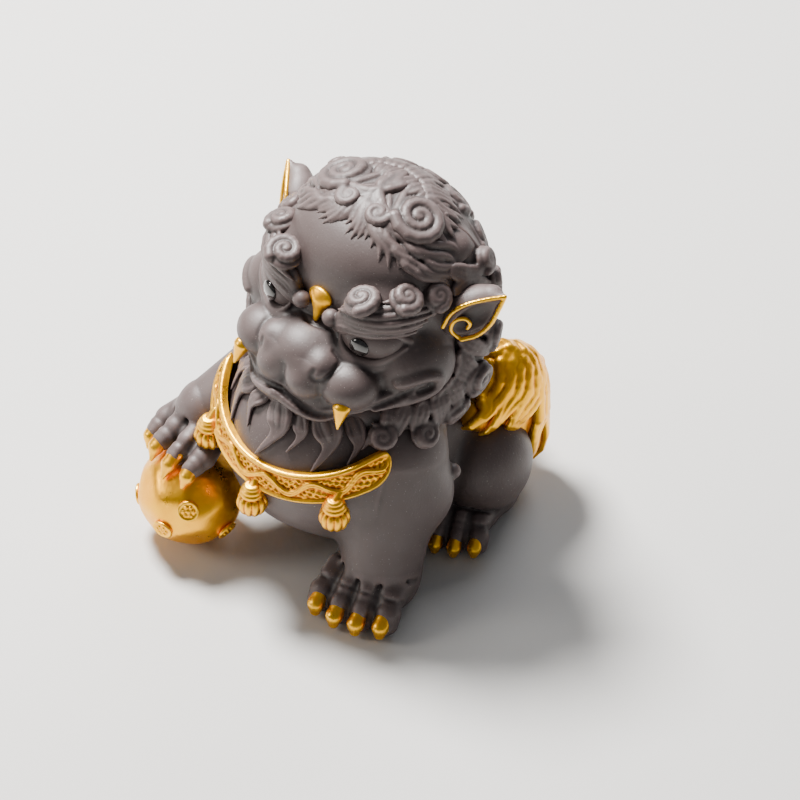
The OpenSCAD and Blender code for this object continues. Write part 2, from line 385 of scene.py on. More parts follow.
class Paint:
    """A small helper to lay out a material's nodes."""

    def __init__(self, name):
        self.material = bpy.data.materials.new(name)
        self.material.use_nodes = True
        self.tree = self.material.node_tree
        self.shader = self.tree.nodes["Principled BSDF"]

    def node(self, kind, **sockets):
        n = self.tree.nodes.new(kind)
        for key, value in sockets.items():
            self.feed(n.inputs[key.replace("_", " ")], value)
        return n

    def feed(self, socket, value):
        """Links another node's output to a socket, or sets the socket's value."""
        if isinstance(value, bpy.types.NodeSocket):
            self.tree.links.new(value, socket)
        else:
            socket.default_value = value

    def set(self, **values):
        for key, value in values.items():
            self.feed(self.shader.inputs[key.replace("_", " ")], value)

    def noise(self, scale, detail=4.0, rough=0.55):
        where = self.node("ShaderNodeTexCoord").outputs["Object"]
        return self.node("ShaderNodeTexNoise", Vector=where, Scale=scale, Detail=detail,
                         Roughness=rough).outputs["Fac"]

    def ramp(self, value, *stops):
        n = self.node("ShaderNodeValToRGB", Fac=value)
        band = n.color_ramp
        while len(band.elements) < len(stops):
            band.elements.new(0.5)
        for element, (place, colour) in zip(band.elements, stops):
            element.position = place
            element.color = (*colour, 1)
        return n.outputs["Color"]

    def spread(self, value, a, b, to_a, to_b):
        return self.node("ShaderNodeMapRange", Value=value, From_Min=a, From_Max=b, To_Min=to_a,
                         To_Max=to_b).outputs["Result"]

    def math(self, kind, a, b):
        n = self.tree.nodes.new("ShaderNodeMath")
        n.operation = kind
        self.feed(n.inputs[0], a)
        self.feed(n.inputs[1], b)
        return n.outputs[0]

    def blend(self, kind, factor, a, b):
        n = self.tree.nodes.new("ShaderNodeMix")
        n.data_type = "RGBA"
        n.blend_type = kind
        for i, v in ((0, factor), (6, a), (7, b)):     # the sockets that colours use
            self.feed(n.inputs[i], (*v, 1) if isinstance(v, tuple) else v)
        return n.outputs[2]

    def attribute(self, name):
        n = self.tree.nodes.new("ShaderNodeAttribute")
        n.attribute_name = name
        return n.outputs["Fac"]

    def bump(self, height, strength, distance):
        n = self.node("ShaderNodeBump", Height=height, Strength=strength, Distance=distance)
        self.set(Normal=n.outputs["Normal"])

    def layers(self, *layers):
        """Two noises, each given as scale, detail and share, added up."""
        return self.math("ADD", *[self.math("MULTIPLY", self.noise(*v[:2]), v[2]) for v in layers])


GRAIN_DEPTH = 0.00035       # metres


def clay_material(name, tone):
    """Fine unglazed zisha clay: warm grey-brown, a soft sheen, painted shade in folds and hollows, a painted
    highlight on ridges, pale mineral specks.
    """
    p = Paint(name)
    base = p.ramp(p.noise(26, 3), (0.3, tuple(0.82 * v for v in tone)), (0.7, tuple(1.15 * v for v in tone)))
    # Painted shade: the colour goes towards the dark tone in narrow lines and broad hollows, where shade
    # falls.
    line = p.spread(p.attribute("line"), -0.12, 0.05, 0.0, 1.0)
    deep = p.spread(p.attribute("hollow"), -0.22, 0.06, 0.25, 1.0)
    dark = tuple(0.34 * v for v in tone)
    shade = p.math("MULTIPLY", p.spread(line, 0, 1, 0.35, 1), deep)
    colour = p.blend("MIX", shade, dark, base)
    # Painted highlight: a lighter tone on ridges and raised edges, where light catches.
    painted_highlight = p.spread(p.attribute("line"), 0.03, 0.22, 0.0, 0.55)
    colour = p.blend("MIX", painted_highlight, colour, tuple(min(1, 1.75 * v) for v in tone))
    speck = p.spread(p.noise(2600, 1), 0.735, 0.76, 0.0, 0.4)
    colour = p.blend("MIX", speck, colour, (0.42, 0.38, 0.34))
    p.set(Base_Color=colour)
    p.set(Roughness=p.spread(p.noise(140, 4), 0.3, 0.7, 0.46, 0.6))
    p.set(Specular_IOR_Level=0.6)
    p.bump(p.layers((2200, 2, 0.5), (420, 4, 0.8)), 0.22, GRAIN_DEPTH)
    return p.material


def gold_material(name):
    """Satin gold paint over clay: bright yellow, with painted shade (orange-brown) in the recesses and a
    painted highlight on ridges.
    """
    p = Paint(name)
    base = p.ramp(p.noise(120, 4), (0.25, (0.92, 0.39, 0.008)), (0.75, (1.0, 0.52, 0.014)))
    # Painted shade: the colour goes towards orange-brown in narrow lines and hollows, where shade falls.
    line = p.spread(p.attribute("line"), -0.16, 0.0, 0.0, 1.0)
    deep = p.spread(p.attribute("hollow"), -0.3, 0.0, 0.45, 1.0)
    shade = p.math("MULTIPLY", line, deep)
    colour = p.blend("MIX", shade, (0.42, 0.13, 0.012), base)
    # Painted highlight: a brighter yellow on ridges and raised edges, where light catches.
    painted_highlight = p.spread(p.attribute("line"), 0.06, 0.25, 0.0, 0.6)
    colour = p.blend("MIX", painted_highlight, colour, (1.0, 0.58, 0.04))
    p.set(Base_Color=colour)
    p.set(Roughness=p.spread(p.noise(260, 4), 0.3, 0.7, 0.26, 0.42))
    p.set(Metallic=0.94, Specular_IOR_Level=0.3)
    p.bump(p.layers((900, 3, 0.6), (180, 3, 0.9)), 0.28, GRAIN_DEPTH)
    return p.material


def glaze_material(name):
    """Glossy black glaze."""
    p = Paint(name)
    p.set(Base_Color=p.ramp(p.noise(300, 3), (0.3, (0.004, 0.0035, 0.003)), (0.7, (0.012, 0.010, 0.009))))
    p.set(Roughness=p.spread(p.noise(500, 3), 0.3, 0.7, 0.05, 0.1))
    p.set(Coat_Weight=0.8, Coat_Roughness=0.04)
    return p.material


MATERIALS = {"clay": clay_material("zisha_clay", (0.078, 0.055, 0.052)),
             "gilding": gold_material("gilding"),
             "pupil_glaze": glaze_material("black_glaze")}


# ---------------------------------------------------------------- body

CHEST = ((0, -25, 33), (23.5, 24, 24))      # centre and radii, as for NECK and RUMP
NECK = ((0, -8, 44), (21, 18, 18))
RUMP = ((0, 6, 20), (23, 23, 23))
SHOULDER = at(17, -22, 36)
SHOULDER_R = 13.2
WRIST = at(22.4, -31.0, 10)
FORE_PAW = at(21.6, -33.4, 0)
FORE_TURN = 15
HIND_PAW = at(21.4, -3.0, 0)
HIND_TURN = 24
HIND_SIZE = 0.82
BALL_WRIST = BALL + at(-3.5, 9.5, 18.5)


def paw_place(c, turn, s, size, p):
    """A point of the paw's own frame (toes along -Y) in the lion's frame."""
    a = math.radians(turn)
    x = p[0] * math.cos(a) - p[1] * math.sin(a)
    y = p[0] * math.sin(a) + p[1] * math.cos(a)
    return at(s * (c[0] + x * size), c[1] + y * size, c[2] + p[2] * size)


TOES = (-1.5, -0.5, 0.5, 1.5)
TOE_ARC = 0.8       # how far the outer toes stand back


def ground_paw(clay, c, turn, s, size):
    """Four broad toes, each with a knuckle and a fingertip, and creases between them."""
    def place(x, y, z):
        return paw_place(c, turn, s, size, (x, y, z))

    palm = ellipsoid(place(0, -0.5, 5.0), (10.8 * size, 10.5 * size, 6.6 * size), (0, 0, s * turn))
    clay.put(palm, k=3.0 * size)
    for i in TOES:
        back = TOE_ARC * i * i
        fan = 1.06 * i
        knuckle = limb(place(4.9 * i, -4.4 + back, 8.6 - 0.5 * back),
                       place(5.1 * i, -7.6 + back, 7.6 - 0.4 * back), 3.2 * size, 3.15 * size)
        tip = limb(place(5.3 * fan, -10.6 + back, 5.4 - 0.2 * back), place(5.4 * fan, -11.9 + back, 3.2),
                   3.15 * size, 2.9 * size)
        clay.put(knuckle, k=1.1 * size)
        clay.put(tip, k=0.7 * size)
    for i in (-1, 0, 1):
        back = TOE_ARC * i * i
        gap = curve([place(4.9 * i, -3.5 + back, 11.5), place(5.1 * i, -8.2 + back, 10.0),
                     place(5.4 * i, -12.4 + back, 6.8), place(5.6 * i, -14.6 + back, 1.5)], 10)
        clay.cut(*tube(gap, np.linspace(0.3, 0.75, len(gap)) * size), k=1.4 * size)
    crease = [place(5.2 * i, -9.2 + TOE_ARC * i * i, 9.7 - 0.62 * i * i) for i in np.linspace(-2.1, 2.1, 13)]
    clay.cut(*tube(clay.snap(crease, 0.2), 0.42), k=0.5)
    web = [place(5.1 * i, -2.6 + 0.9 * i * i, 11.6 - 0.8 * i * i) for i in np.linspace(-1.9, 1.9, 13)]
    clay.cut(*tube(clay.snap(web, 0.25), 0.45), k=0.8)


def toe_claws(c, turn, s, size):
    """The gilded nails in front of a paw's toes, as forms: short, round, hooked a little downwards."""
    forms = []
    for i in TOES:
        back = TOE_ARC * i * i
        root = paw_place(c, turn, s, size, (5.5 * i, -12.6 + back, 5.0))
        middle = paw_place(c, turn, s, size, (5.55 * i, -14.3 + back, 3.9))
        tip = paw_place(c, turn, s, size, (5.55 * i, -14.7 + back, 2.1))
        forms += tube([root, middle, tip], [1.9 * size, 2.0 * size, 1.35 * size])
    return forms


def body_lump():
    clay = Clay((-42, -54, -2), (42, 36, 64), BROAD)
    clay.put(ellipsoid(*CHEST))
    clay.put(ellipsoid((0, -14, 17), (22.5, 22, 19)), k=8)
    clay.put(ellipsoid(*RUMP), k=8)
    clay.put(ellipsoid(*NECK), k=8)
    for s in BOTH:
        clay.put(ellipsoid(side((23.2, 5.0, 15.0), s), (9.8, 11.6, 12.4), (0, 0, s * 8)), k=2.5)
        clay.put(limb(side((23.5, 6, 5.0), s), side((22.4, -1.5, 4.8), s), 6.2, 6.4), k=2.5)
    clay.put(limb(SHOULDER, WRIST, SHOULDER_R, 9.6), k=4)
    clay.put(ellipsoid((22.5, -19.5, 25), (9, 8, 10)), k=5)
    elbow = clay.snap((27.5, -13.8, 29.1), 0.2)[0]
    clay.put(ellipsoid(elbow, (1.9, 1.9, 1.9)), k=0.8)
    clay.put(limb(side(SHOULDER, RIGHT), BALL_WRIST, SHOULDER_R, 6.8), k=4)
    return clay


# Each toe on the ball, from the ball's middle: claw tip, claw root, knuckle, back.
BALL_TOES = [((-12.0, -1.6, 7.6), (-12.4, 2.0, 10.4), (-12.0, 5.4, 12.0), (-9.6, 10.0, 14.4)),
             ((-7.2, -5.6, 9.9), (-7.4, -1.2, 13.0), (-6.6, 2.6, 14.7), (-6.0, 8.4, 16.0)),
             ((-1.0, -8.4, 10.3), (-1.0, -3.4, 14.0), (-0.6, 0.4, 15.8), (-1.6, 6.6, 16.8)),
             ((4.4, -7.6, 10.2), (4.2, -3.8, 13.6), (4.6, -0.4, 14.8), (3.0, 5.4, 16.2))]


def ball_toe(j, part):
    """A point of toe j over the ball: 0 is its claw's tip, then the claw's root, the knuckle and the back."""
    return BALL + at(*BALL_TOES[j][part])


def paw_on_ball(clay):
    """The right paw, laid over the ball from behind: four toes with creases between them."""
    clay.put(ellipsoid(BALL + at(-3.8, 9.0, 14.6), (8.4, 6.8, 5.4), (30, -10, 20)), k=3)
    for j in range(4):
        root, knuckle, back = (ball_toe(j, part) for part in (1, 2, 3))
        clay.put(limb(back, knuckle, 3.1, 3.1), k=1.0)
        clay.put(limb(0.25 * knuckle + 0.75 * root, root, 2.75, 2.5), k=0.5)
    for j in range(3):
        gap = [(ball_toe(j, part) + ball_toe(j + 1, part)) / 2 + at(0, -0.4, rise)
               for part, rise in ((3, 3.0), (2, 2.6), (1, 2.4), (1, 0.6))]
        clay.cut(*tube(gap, [0.4, 0.8, 0.9, 0.9]), k=1.3)


def ball_claws():
    forms = []
    for j in range(4):
        tip, root = ball_toe(j, 0), ball_toe(j, 1)
        middle = 0.5 * (tip + root) + 0.7 * unit(root - BALL)
        forms += tube([root + 0.4 * unit(root - BALL), middle, tip], [2.0, 1.8, 0.5])
    return forms


def make_body():
    clay = body_lump()
    ground_paw(clay, FORE_PAW, FORE_TURN, LEFT, 1.0)
    for s in BOTH:
        ground_paw(clay, HIND_PAW, HIND_TURN, s, HIND_SIZE)
    paw_on_ball(clay)
    clay.keep_above(0.0)
    sculpt("body_clay", clay, "clay",
           ["torso", "haunch_left", "haunch_right", "hind_paw_left", "hind_paw_right", "foreleg_left",
            "foreleg_right", "forepaw_left", "forepaw_right"])
    return clay


def small_piece(name, forms, slot="gilding", step=0.3, inner=0.5):
    """A piece of its own lump, just large enough for its forms."""
    lo = np.min([f.lo for f in forms], 0) - 3 * step
    hi = np.max([f.hi for f in forms], 0) + 3 * step
    clay = Clay(lo, hi, step)
    clay.put(*forms, inner=inner)
    clay.keep_above(0.0)
    sculpt(name, clay, slot)


def make_claws():
    small_piece("claws_fore_left", toe_claws(FORE_PAW, FORE_TURN, LEFT, 1.0))
    small_piece("claws_fore_right", ball_claws())
    for s, name in NAMED:
        small_piece("claws_hind_" + name, toe_claws(HIND_PAW, HIND_TURN, s, HIND_SIZE))


def facets(c, r, flat, k):
    """A ball with soft flats all round, spread evenly."""
    count = 26
    golden = math.pi * (3 - math.sqrt(5))

    def distance(x, y, z):
        px, py, pz = x - c[0], y - c[1], z - c[2]
        d = np.sqrt(px * px + py * py + pz * pz) - r
        for i in range(count):
            h = 1 - 2 * (i + 0.5) / count
            w = math.sqrt(1 - h * h)
            n = (w * math.cos(golden * i), w * math.sin(golden * i), h)
            d = -smooth_min(-d, -(px * n[0] + py * n[1] + pz * n[2] - flat), k)
        return d

    return Form(c - r, c + r, distance)


BOSSES = [(0.59, -0.70, 0.41), (0.93, -0.04, -0.36), (0.18, -0.97, -0.14), (-0.80, -0.55, -0.20),
          (-0.95, 0.25, 0.15), (0.30, 0.90, 0.30), (-0.40, 0.85, -0.30)]


def make_ball():
    clay = Clay(BALL - BALL_R - 2, BALL + BALL_R + 2, 0.26)
    clay.put(facets(BALL, BALL_R, 0.962 * BALL_R, 0.9))
    clay.keep_above(0.0)
    sculpt("ball", clay, "gilding")
    studs = Clay(BALL - BALL_R - 2, BALL + BALL_R + 2, 0.22)
    for direction in BOSSES:
        n = unit(direction)
        rot = facing(n)
        centre = clay.snap(BALL + n * BALL_R, 0.0)[0]
        ring = [centre + rot @ at(2.2 * math.cos(a), 2.2 * math.sin(a), 0.25)
                for a in np.linspace(0, 2 * math.pi, 21)]
        studs.put(ellipsoid(centre, (2.3, 2.3, 0.55), rot))
        studs.put(*tube(ring, 0.42), k=0.2)
        dots = [centre + rot @ at(q * math.cos(a), q * math.sin(a), 0.5)
                for q, n_dots in ((0.0, 1), (1.15, 6)) for a in np.arange(n_dots) * 2 * math.pi / n_dots]
        studs.put(*[ellipsoid(p, (0.42, 0.42, 0.42)) for p in dots], k=0.15)
    studs.keep_above(0.0)
    sculpt("ball_bosses", studs, "gilding")


# ---------------------------------------------------------------- hair: curls and locks

def swirl(base, centre, radius, entry, hand=1, turns=1.8, thick=1.0, lift=0.3, dome=0.3):
    """A snail curl on a surface: a lead-in from the entry point, then a coil that climbs to its button."""
    centre = base.snap(centre, lift)[0]
    rot = facing(base.normal(centre)[0])
    flat = rot.T @ (np.asarray(entry, float) - centre)
    start = math.atan2(-flat[1], -flat[0]) - hand * math.pi / 2
    steps = round(turns * 13)
    points, radii = [], []
    for i in range(steps + 1):
        t = i / steps
        angle = start + hand * turns * 2 * math.pi * t
        reach = (radius - thick) * (1 - t)
        rise = dome * radius * (1 - (reach / radius) ** 2)
        points.append(centre + rot @ at(reach * math.cos(angle), reach * math.sin(angle), rise))
        radii.append(thick * (1 - 0.3 * t))
    lead = base.snap(curve([entry, (np.asarray(entry) + points[0]) / 2, points[0]], 6), lift)
    forms = [ellipsoid(centre, (0.85 * radius, 0.85 * radius, dome * radius + 0.15), rot)]
    forms += tube(lead, np.linspace(0.15 * thick, thick, len(lead)))
    return forms + tube(points, radii)


def lock(base, spine, width, count=3, thick=0.9, lift=0.3, n=9, root=0.12):
    """Parallel strands that follow a surface and gather to a point at the end."""
    path = base.snap(curve(spine, n), lift)
    across = frame_along(base, path)[1]
    t = np.linspace(0, 1, len(path))
    gather = np.clip((t + root) / 0.4, 0, 1) ** 0.7 * (1 - t) ** 0.7 * 1.12
    forms = []
    for i in range(count):
        shift = (i - (count - 1) / 2) * width / count
        strand = path + across * (shift * gather)[:, None]
        forms += tube(base.snap(strand, lift), thick * (0.2 + 0.8 * gather))
    return forms


# ---------------------------------------------------------------- head

MOUTH = [(0, -40.6, 58.6), (5.5, -40.4, 57.0), (10.8, -39.6, 56.2), (15.8, -37.2, 56.8), (20.0, -32.0, 58.4),
         (23.0, -26.8, 60.6), (25.4, -21.6, 62.8)]


def mouth_line(s, drop):
    """The line between the lips on one side, moved down."""
    return curve([side((p[0], p[1], p[2] - drop), s) for p in MOUTH], 22)


# Skull, crown, forehead and jaw: centre, radii and blend.
HEAD_MASSES = [(SKULL + at(0, 1.2, 0.6), (SKULL_R - 1.3, SKULL_R - 4.4, SKULL_D / 2 - 3.2), 0),
               ((0, -7.5, 84.5), (19.0, 15, 8.6), 3), ((0, -12.0, 81.8), (18.5, 13.0, 12.2), 3),
               ((0, -20.5, 61.8), (19, 16, 10.0), 4)]


def head_mass(clay, grow=0.0):
    """The plain masses of the head, made larger by grow."""
    for centre, radii, k in HEAD_MASSES:
        clay.put(ellipsoid(centre, np.array(radii) + grow), k=k)
    for s in BOTH:
        clay.put(ellipsoid(side((19.8, -17.5, 62.6), s), at(8.2, 9.8, 8.8) + grow, (0, 0, -s * 30)), k=4)


def face_forms(s):
    """Soft masses of one side of the face, each with how far it runs into the rest."""
    return [
        (ellipsoid(side((13.4, -20.5, 77.6), s), (8.0, 5.6, 6.2), (0, 0, s * 32)), 3),
        (ellipsoid(side((13.4, -22.4, 70.8), s), (9.0, 5.2, 6.0), (0, 0, s * 28)), 2),
        (ellipsoid(side((13.0, -31.6, 61.6), s), (7.0, 6.4, 5.6), (0, 0, s * 20)), 1.6),
        (ellipsoid(side((4.5, -36.8, 61.4), s), (4.9, 4.4, 4.6), (0, 0, s * 8)), 1.0),
        (ellipsoid(side((20.6, -20.4, 65.8), s), (5.6, 5.4, 5.4), (0, 18, s * 40)), 3),
    ]


NOSE_WING = [(9.0, -31.6, 70.0), (10.8, -31.8, 68.2), (10.9, -33.4, 65.8), (9.2, -36.6, 64.4),
             (7.4, -38.2, 65.2), (7.8, -37.6, 66.8)]


def carve_nose(clay):
    """A broad soft nose with a flat top, and a curled groove round each wing."""
    clay.put(ellipsoid((0, -30.4, 66.4), (6.2, 7.2, 4.3), (-6, 0, 0)), k=2.0)
    clay.put(ellipsoid((0, -33.4, 65.6), (9.4, 5.8, 4.0), (8, 0, 0)), k=3.0)
    for s in BOTH:
        clay.put(ellipsoid(side((7.4, -34.4, 65.7), s), (3.1, 3.9, 3.4)), k=2.0)
    for s in BOTH:
        wing = curve(sided(NOSE_WING, s), 18)
        clay.cut(*tube(clay.trace(wing, 0.15), 0.5), k=0.7)
        clay.cut(ellipsoid(side((4.2, -38.6, 63.6), s), (2.0, 0.9, 0.6), (20, 0, s * 20)), k=0.9)
    clay.cut(limb((0, -40.0, 65.0), (0, -41.6, 60.6), 0.5, 0.4), k=1.2)
    for z, half in ((72.6, 3.6), (71.3, 4.6)):
        wrinkle = curve([(-half, -28.5, z + 0.6), (0, -30.0, z), (half, -28.5, z + 0.6)], 9)
        clay.cut(*tube(clay.snap(wrinkle, 0.12), 0.28), k=0.6)


# The left eye's upper lid, lower lid and second fold: points, lift above the skin, thickness and blend.
LIDS = [([(7.4, -29.4, 72.4), (9.8, -29.4, 74.8), (14.2, -27.8, 76.2), (18.6, -24.4, 75.8),
          (22.2, -20.6, 73.2)], 0.0, 1.15, 0.8),
        ([(7.4, -29.4, 71.8), (9.4, -29.8, 69.0), (13.6, -29.0, 67.0), (18.6, -25.2, 67.8),
          (21.6, -21.8, 71.6)], 0.2, 1.0, 0.4),
        ([(6.6, -29.8, 70.8), (9.2, -30.4, 67.8), (13.8, -29.6, 65.6), (19.0, -25.2, 66.4),
          (22.8, -20.2, 70.4)], -0.3, 0.9, 0.5)]
EYE_SLOT = [(9.0, -31.8, 72.2), (12.2, -31.4, 71.8), (15.2, -29.8, 71.8), (18.4, -27.2, 72.2)]


def carve_eye(clay, s):
    """The almond opening between two lids, with a second fold under the lower one."""
    for line, lift, thick, blend in LIDS:
        path = clay.trace(curve(sided(line, s), 16), lift)
        clay.put(*tube(path, thick * swell(path, 0.04, 0.96) ** 0.6), k=blend)
    path = curve(sided(EYE_SLOT, s), 9)
    clay.cut(*tube(path, 0.6 + 2.9 * swell(path, 0.1, 0.9)), k=0.5, inner=0.5)


CHEEK_FOLD = [(23.4, -26.6, 64.2), (26.2, -21.4, 65.6), (27.6, -17.6, 63.4), (26.6, -19.4, 60.4),
              (23.8, -24.6, 58.2), (20.0, -30.0, 56.4)]
MOUTH_HOOK = [(25.0, -22.2, 62.8), (26.3, -19.8, 63.2), (26.5, -19.6, 61.8), (25.4, -22.0, 61.2)]


def carve_mouth(clay):
    """Lips that meet in a drooping line; each end of it hooks up and back inside a fold of the cheek."""
    for s in BOTH:
        clay.put(*tube(clay.trace(mouth_line(s, 2.2)[:-2], 0.0), 1.3), k=1.2, inner=0.3)
    for s in BOTH:
        clay.put(*tube(clay.trace(curve(sided(CHEEK_FOLD, s), 26), 0.1), 1.15), k=0.9, inner=0.5)
        line = np.vstack([mouth_line(s, 0.6)[:-1], curve(sided(MOUTH_HOOK, s), 12)])
        clay.cut(*tube(clay.trace(line, 0.0), 0.8), k=0.5, inner=0.3)


def make_head():
    clay = Clay((-34, -49, 42), (34, 19, 101), FINE)
    head_mass(clay)
    clay.put(ellipsoid((0, -25.5, 55.5), (16.0, 15.5, 7.2), (-8, 0, 0)), k=3)
    for s in BOTH:
        for form, k in face_forms(s):
            clay.put(form, k=k)
    clay.put(ellipsoid((0, -34.0, 53.8), (12.5, 7.2, 4.6), (6, 0, 0)), k=2.0)
    carve_nose(clay)
    carve_mouth(clay)
    for s in BOTH:
        carve_eye(clay, s)
    sculpt("head_clay", clay, "clay",
           ["head_shell", "lower_jaw", "lip_left", "lip_right", "nose", "cheek_left", "cheek_right",
            "eyelid_left", "eyelid_right"])
    return clay


EYE_TURN = 28


def make_eyes():
    for s, name in NAMED:
        middle = side(EYE + at(0.8, -0.2, 0.2), s)
        gaze = at(s * 0.36, -0.93, 0.12)
        eyeball = ellipsoid(middle, (7.6, 4.7, 5.2), (0, 0, s * EYE_TURN))
        place = side(PUPIL, s) + at(0, 0, -0.1)
        small_piece("eyeball_" + name, [eyeball], "clay", step=0.28)
        lump = Clay(middle - 11, middle + 11, 0.5)
        lump.put(eyeball)
        spot = lump.snap(place, 0.0)[0]
        pupil = ellipsoid(spot - 0.25 * unit(gaze), (2.45, 2.45, 1.0), facing(lump.normal(spot)[0]))
        small_piece("pupil_" + name, [pupil], "pupil_glaze", step=0.17)


BROW_CURLS = [((12.0, -25.8, 81.9), 5.2), ((18.6, -19.0, 82.6), 4.6), ((22.6, -12.2, 81.6), 4.0)]
BROW_LOW = [(4.6, -29.6, 74.0), (9.0, -30.0, 75.0), (13.6, -28.8, 76.0), (18.2, -25.4, 76.5),
            (23.3, -18.8, 75.0)]
BROW_HIGH = [(5.6, -29.0, 76.2), (9.0, -27.2, 79.4), (14.2, -24.6, 81.0), (19.2, -19.2, 81.6),
             (23.6, -13.0, 80.2)]
BROW_ROWS = 6


def make_brows(head):
    """A flame of strands from a knob by the jewel towards the ear, with snail curls along its upper edge."""
    for s, name in NAMED:
        clay = Clay((-30 if s < 0 else 1, -37, 69), (-1 if s < 0 else 30, -6, 92), 0.28)
        under = head.copy()
        for row in range(BROW_ROWS):
            f = row / (BROW_ROWS - 1)
            points = [side(np.array(a) * (1 - f) + np.array(b) * f, s) for a, b in zip(BROW_LOW, BROW_HIGH)]
            path = curve(points, 14)
            wave = 0.5 * np.sin(np.linspace(0, 2 * np.pi, len(path)))
            strand = head.snap(path + wave[:, None] * at(0, 0, 1), 0.4 + math.sin(math.pi * f))
            fade = swell(strand, 0.3, 0.97) ** 0.5
            clay.put(*tube(strand, 1.1 * fade + 0.15), k=0.1)
            under.put(*tube(strand, 1.05 * fade + 0.15), k=1.2)
        knob = side((4.5, -28.4, 74.7), s)
        clay.put(ellipsoid(knob, (2.1, 2.1, 2.1)), k=0.3)
        for centre, r in BROW_CURLS:
            entry = side((centre[0] - 4.6, centre[1] - 2.2, centre[2] - 3.2), s)
            clay.put(*swirl(under, side(centre, s), r, entry, s, thick=1.45), k=0.2, inner=0.12)
        sculpt("brow_" + name, clay)


def make_jewel(head):
    """A gilded drop with a rounded top edge and a point between the brows."""
    centre = head.snap((0, -27, 77.2), 0.3)[0]
    tip = head.snap((0, -28.5, 72.8), 0.5)[0]
    rot = facing(head.normal(centre)[0])
    forms = [ellipsoid(centre, (3.3, 2.5, 1.3), rot), limb(centre - rot @ at(0, 0.8, 0.2), tip, 1.9, 0.7)]
    small_piece("brow_jewel", forms, step=0.22, inner=1.4)


EAR_ROOT = at(24.4, -11.8, 70.6)
EAR_ALONG = unit((0.482, 0.619, 0.619))
EAR_OUT = unit((0.72, -0.68, 0.12))
EAR_UP = unit(np.cross(EAR_OUT, EAR_ALONG)) * -1
EAR_LONG = 16.5
# The gilded rim's two lines: along, up and out.
EAR_UPPER = [(2.2, 3.1, 1.2), (5.5, 4.5, 1.2), (9.5, 4.2, 1.1), (13.2, 2.6, 0.9), (EAR_LONG + 0.3, 0.7, 0.5)]
EAR_LOWER = [(EAR_LONG + 0.3, 0.7, 0.5), (13.0, -1.9, 0.8), (9.0, -3.9, 1.0), (5.0, -4.3, 1.1),
             (1.2, -2.6, 1.2)]


def ear_point(s, along, up, out):
    return side(EAR_ROOT + along * EAR_ALONG + up * EAR_UP + out * EAR_OUT, s)


def make_ears():
    for s, name in NAMED:
        rot = np.stack([side(EAR_ALONG, s), side(EAR_UP, s), side(EAR_OUT, s)], 1)
        ends = [ear_point(s, -3, 0, 0), ear_point(s, 18, 0, 0)]
        clay = Clay(np.min(ends, 0) - 8, np.max(ends, 0) + 8, 0.3)
        clay.put(ellipsoid(ear_point(s, 6.8, 0, -2.6), (7.8, 5.1, 4.6), rot))
        clay.put(limb(ear_point(s, 9.0, 0.2, -2.2), ear_point(s, EAR_LONG - 2.4, 0.4, -2.2), 4.2, 2.3), k=2.0)
        clay.put(limb(ear_point(s, 12, 0.3, -1), ear_point(s, EAR_LONG, 0.6, 0.1), 2.0, 0.6), k=1.5)
        clay.cut(ellipsoid(ear_point(s, 8.0, 0.2, 2.1), (6.6, 3.3, 2.4), rot), k=0.6)
        clay.cut(limb(ear_point(s, 9, 0.2, 2.0), ear_point(s, 14.4, 0.5, 1.7), 1.7, 0.5), k=0.5)
        sculpt("ear_" + name, clay)
        upper, lower = ([ear_point(s, *p) for p in line] for line in (EAR_UPPER, EAR_LOWER))
        hook = [ear_point(s, 4.8 + r * math.cos(a), 0.6 + r * math.sin(a), 0.8)
                for a, r in ((2.6, 3.4), (3.5, 3.1), (4.5, 2.6), (5.5, 2.1), (6.6, 1.6), (7.6, 1.1))]
        forms = tube(curve(upper, 16), 0.55) + tube(curve(lower, 16), 0.48)
        forms += tube(curve(upper[:1] + hook, 20), 0.5)
        small_piece("ear_rim_" + name, forms, step=0.2, inner=0.1)


def make_fangs():
    forms = []
    for s in BOTH:
        forms += tube([side((15.3, -36.8, 59.0), s), side((15.9, -38.9, 54.6), s)], [2.1, 0.35])
    small_piece("fangs", forms, step=0.22)


# ---------------------------------------------------------------- hair and mane

def hair_point(turn, up, reach=24.0):
    """A point by its bearing from the face (towards the left side) and its height angle, about the skull."""
    a, e = math.radians(turn), math.radians(up)
    return SKULL + reach * at(math.sin(a) * math.cos(e), -math.cos(a) * math.cos(e), math.sin(e))


def hairline(turn):
    """Height angle of the hair's front edge at a bearing."""
    return 63 - 44 * (min(abs(turn), 92) / 92) ** 1.8


WHORL = at(12, -6, 96)
MANE_CORE = [(16.5, -0.5, 84), (18.2, 1.5, 77), (19.8, 0.5, 69), (20.8, -2.5, 61), (21.0, -6, 54.5),
             (20.5, -11.5, 50), (19.5, -18.5, 49), (16, -25, 49.5), (11, -30, 50.5)]


def mane_forms(s):
    """The plain roll of hair that frames the face on one side."""
    path = curve(sided(MANE_CORE, s), 24)
    return tube(path, 4.6 + 1.9 * swell(path))


def hair_base():
    """The smooth form under all hair: skull, nape, neck and shoulders run together."""
    clay = Clay((-36, -50, 33), (36, 26, 102), 0.4, reach=8.0)
    head_mass(clay, 0.2)
    clay.put(ellipsoid((0, -25.5, 55.5), (15.5, 15.0, 7.2), (-8, 0, 0)), k=3)
    clay.put(ellipsoid(*CHEST), k=9)
    clay.put(ellipsoid(*NECK), k=9)
    for s in BOTH:
        clay.put(limb(side(SHOULDER, s), side(SHOULDER, s) - at(0, 0, 8), SHOULDER_R, 13), k=6)
    clay.put(ellipsoid(*RUMP), k=8)
    for s in BOTH:
        clay.put(*mane_forms(s), k=1.5, inner=0.5)
    return clay


# Each layer of the fringe: strands, degrees behind the hairline, thickness and lift.
FRINGE_LAYERS = [(29, 0, 0.98, 0.35), (27, 14, 1.0, 0.6), (24, 25, 1.1, 0.8)]
FRINGE_SWAY = 3.3


